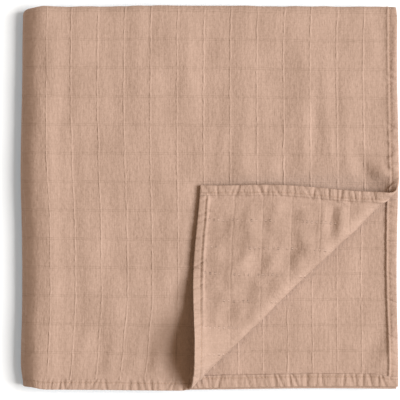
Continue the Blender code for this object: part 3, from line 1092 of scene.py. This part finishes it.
def muslin(name, back):
    """Piece-dyed double cotton gauze, seen from its face or from its back."""
    material = bpy.data.materials.new(name)
    material.use_nodes = True
    tree = material.node_tree
    shader = tree.nodes["Principled BSDF"]
    place, across, along = scaled_map(tree, "cloth_place", 1000)
    _, column, row = scaled_map(tree, "grid_cells", 1)
    hem, edge, _ = scaled_map(tree, "hem_place", 1000)
    inside = add_node(tree, MATH, dict(operation="GREATER_THAN"), [edge, HEM_WIDTH / MM])

    slubs = streaks(tree, place, SLUBS)
    crinkle = streaks(tree, place, CRINKLE)
    weft = streaks(tree, place, WEFT)
    mottle = streaks(tree, place, MOTTLE)
    cloud = streaks(tree, place, CLOUD)

    # The face's columns are fine knotted cords, and its rows are grooves.
    wobble = streaks(tree, place, WOBBLE)
    from_column = from_line(tree, weighted(tree, (column, 1.0), (wobble, GRID_WOBBLE)), COLUMN_PITCH / MM)
    from_row = from_line(tree, weighted(tree, (row, 1.0), (wobble, GRID_WOBBLE)), ROW_PITCH / MM)
    knots = weighted(tree, (1.0, KNOT_MEAN), (streaks(tree, place, KNOTS), KNOT_CONTRAST))
    # The cords are raised, and their colour is also painted paler: a painted highlight on their ridges.
    cords_and_highlight = product(tree, near_place(tree, from_column, 0.0, CORD_HALF_WIDTH), inside, knots)
    grooves = product(tree, near_place(tree, from_row, 0.0, ROW_HALF_WIDTH), inside)
    # Painted shade: two fine dark lines beside each row's groove, where its walls lie in shade.
    painted_row_shade = product(tree, near_place(tree, from_row, PAIR_OFFSET, PAIR_HALF_WIDTH), inside)
    ties_and_highlight = 0.0
    if back:
        # Ties take the cords' place on the half of the cloth whose corner is the flap.
        tie = from_line(tree, product(tree, along, 1 / TIE_PITCH), 1.0)
        tie = add_node(tree, MATH, dict(operation="GREATER_THAN"), [tie, (1 - TIE_SHARE) / 2])
        patchy = streaks(tree, place, TIE_PATCHES)
        patchy = add_node(tree, MATH, dict(operation="GREATER_THAN"), [patchy, TIE_PATCH_LEVEL])
        tied_half = add_node(tree, MATH, dict(operation="GREATER_THAN"), [across, SHEET_SIDE / MM / 2])
        plain_half = add_node(tree, MATH, dict(operation="SUBTRACT"), [1.0, tied_half])
        # Painted highlight: the tie stitches are painted paler, as if they caught the light.
        ties_and_highlight = product(tree, tie, cords_and_highlight, patchy, tied_half)
        cords_and_highlight = product(tree, cords_and_highlight, plain_half)
        painted_row_shade = product(tree, painted_row_shade, plain_half)
    # Painted shade: the colour is darkened along the seam, where its dip lies in shade.
    seam = near_place(tree, edge, SEAM / MM, SEAM_HALF_SHADE)
    drawn = product(tree, streaks(tree, hem, DRAWN_HEM), near_place(tree, edge, DRAWN_MIDDLE, DRAWN_REACH))

    # Heights in millimetres.
    height = weighted(
        tree,
        (slubs, 0.14),
        (crinkle, 0.30),
        (weft, 0.12),
        (mottle, 0.42),
        (drawn, 0.55),
        (cords_and_highlight, 0.22 if back else 0.30),
        (grooves, -0.16 if back else -0.12),
        (ties_and_highlight, 0.82),
    )
    bump = add_node(tree, "ShaderNodeBump", None, {"Strength": 1.0, "Distance": MM, "Height": height})

    # How far each pattern takes the colour from the light cloth towards its darker tone. The slubs, weft,
    # mottle and cloud are the cloth's own uneven tone. The cords and ties are painted paler, a painted
    # highlight, and the row pairs and the seam are painted darker, painted shade.
    dark = weighted(
        tree,
        (1.0, MEAN_SHADE),
        (slubs, -0.36),
        (weft, -0.30),
        (mottle, -0.38),
        (cloud, -0.58),
        (cords_and_highlight, -0.17),
        (painted_row_shade, 0.22),
        (ties_and_highlight, -0.60),
        (seam, 0.32),
    )
    colour = add_node(
        tree,
        "ShaderNodeMix",
        dict(data_type="RGBA", clamp_factor=True),
        {0: dark, 6: linear(CLOTH), 7: linear(CLOTH_SHADE)},
    )
    roughness = weighted(tree, (1.0, ROUGHNESS), (slubs, ROUGHNESS_CHANGE))
    tree.links.new(colour.outputs[2], shader.inputs["Base Color"])
    tree.links.new(roughness.outputs[0], shader.inputs["Roughness"])
    tree.links.new(bump.outputs["Normal"], shader.inputs["Normal"])
    shader.inputs["Specular IOR Level"].default_value = 0.2
    shader.inputs["Sheen Weight"].default_value = 0.10
    shader.inputs["Sheen Roughness"].default_value = 0.5
    shader.inputs["Sheen Tint"].default_value = linear("#E8C9B2")
    return material


# %% Give the two sides their materials
blanket.data.materials.append(muslin("double_muslin_face", back=False))
blanket.data.materials.append(muslin("double_muslin_back", back=True))
corner_vertex = np.empty(len(blanket.data.loops), dtype=int)
blanket.data.loops.foreach_get("vertex_index", corner_vertex)
loop_start = np.empty(len(blanket.data.polygons), dtype=int)
blanket.data.polygons.foreach_get("loop_start", loop_start)
on_back = np.add.reduceat(np.where(face_side[corner_vertex], 1, -1), loop_start) < 0
blanket.data.polygons.foreach_set("material_index", on_back.astype(int))
print("faces on the back:", int(on_back.sum()), "of", len(on_back))

# %% [markdown]
# ### Sewing thread
#
# The hems are sewn with spun polyester in the cloth's colour. It is a little smoother than the gauze,
# and its twist shows as a fine slanted ripple.


# %% The thread
THREAD = "#BC9D88"
THREAD_SHADE = "#A4856F"


def sewing_thread(name):
    """Spun polyester thread, dyed to match."""
    material = bpy.data.materials.new(name)
    material.use_nodes = True
    tree = material.node_tree
    shader = tree.nodes["Principled BSDF"]
    # The ripples of the twist lie about half a millimetre apart.
    place = add_node(tree, "ShaderNodeTexCoord").outputs["Object"]
    scaled = add_node(tree, "ShaderNodeMapping", None, {"Vector": place, "Scale": (1000, 1000, 1000)})
    twist = add_node(
        tree,
        "ShaderNodeTexWave",
        dict(bands_direction="DIAGONAL"),
        {"Vector": scaled, "Scale": 1.2, "Distortion": 1.5, "Detail": 1.0},
    )
    colour = add_node(
        tree,
        "ShaderNodeMix",
        dict(data_type="RGBA"),
        {0: twist.outputs["Fac"], 6: linear(THREAD_SHADE), 7: linear(THREAD)},
    )
    bump = add_node(
        tree, "ShaderNodeBump", None, {"Strength": 0.6, "Distance": 0.1 * MM, "Height": twist.outputs["Fac"]}
    )
    tree.links.new(colour.outputs[2], shader.inputs["Base Color"])
    tree.links.new(bump.outputs["Normal"], shader.inputs["Normal"])
    shader.inputs["Roughness"].default_value = 0.6
    return material


stitches.data.materials.append(sewing_thread("spun_thread"))
print("thread on", len(stitches.data.polygons), "faces")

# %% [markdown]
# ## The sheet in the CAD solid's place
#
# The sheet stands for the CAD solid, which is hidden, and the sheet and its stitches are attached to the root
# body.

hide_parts(NODE)
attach(blanket, "root")
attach(stitches, "root")

# %% [markdown]
# ## Floor, light and camera
#
# The blanket lies on a table of white laminate, which is even and almost without gloss. One large, soft
# studio light comes from the right, halfway up. It leaves the round fold on the left in shade, and the
# turned-back corner throws a shadow to its left. A dim warm surrounding light fills the shadows, much as
# light that has come through the cloth does. The table gives off a trace of blue, so that its own
# shadows stay neutral under that fill. The camera looks straight down through a long lens.

# %% The table
deselect()
bpy.ops.mesh.primitive_plane_add(size=8, location=(0, 0, 0))
table = bpy.context.object
table.name = "white_table"
white = bpy.data.materials.new("white_laminate")
white.use_nodes = True
white_shader = white.node_tree.nodes["Principled BSDF"]
white_shader.inputs["Base Color"].default_value = linear("#EDEDED")
white_shader.inputs["Roughness"].default_value = 0.85
white_shader.inputs["Emission Color"].default_value = linear("#59CBFF")
white_shader.inputs["Emission Strength"].default_value = 0.19
table.data.materials.append(white)
print("table, m:", tuple(round(side, 1) for side in table.dimensions[:2]))

# %% The light
LIGHT_DISTANCE = 9.0
LIGHT_HEIGHT_ANGLE = math.radians(45)
key = bpy.data.lights.new("softbox", "AREA")
key.shape = "RECTANGLE"
key.size = 4.6
key.size_y = 5.0
key.energy = 1262
softbox = bpy.data.objects.new("softbox", key)
softbox.location = (
    LIGHT_DISTANCE * math.cos(LIGHT_HEIGHT_ANGLE),
    0,
    LIGHT_DISTANCE * math.sin(LIGHT_HEIGHT_ANGLE),
)
softbox.rotation_euler = softbox.location.to_track_quat("Z", "Y").to_euler()
bpy.context.collection.objects.link(softbox)

world = bpy.data.worlds.new("studio")
world.use_nodes = True
world.node_tree.nodes["Background"].inputs["Color"].default_value = linear("#FFDFBD")
world.node_tree.nodes["Background"].inputs["Strength"].default_value = 0.50
bpy.context.scene.world = world
bpy.context.scene.view_settings.view_transform = "Standard"
print("light at, m:", tuple(round(place, 2) for place in softbox.location))

# %% The camera
CAMERA_PLACE = (-0.0072, -0.0014, 1.8)
SEEN_WIDTH = 0.3137  # across the picture, at the top of the pack
PACK_TOP = 0.021
lens = bpy.data.cameras.new("overhead")
lens.sensor_width = 36
lens.lens = lens.sensor_width * (CAMERA_PLACE[2] - PACK_TOP) / SEEN_WIDTH
overhead = bpy.data.objects.new("overhead", lens)
overhead.location = CAMERA_PLACE
bpy.context.collection.objects.link(overhead)
bpy.context.scene.camera = overhead
print("lens, mm:", round(lens.lens, 1))
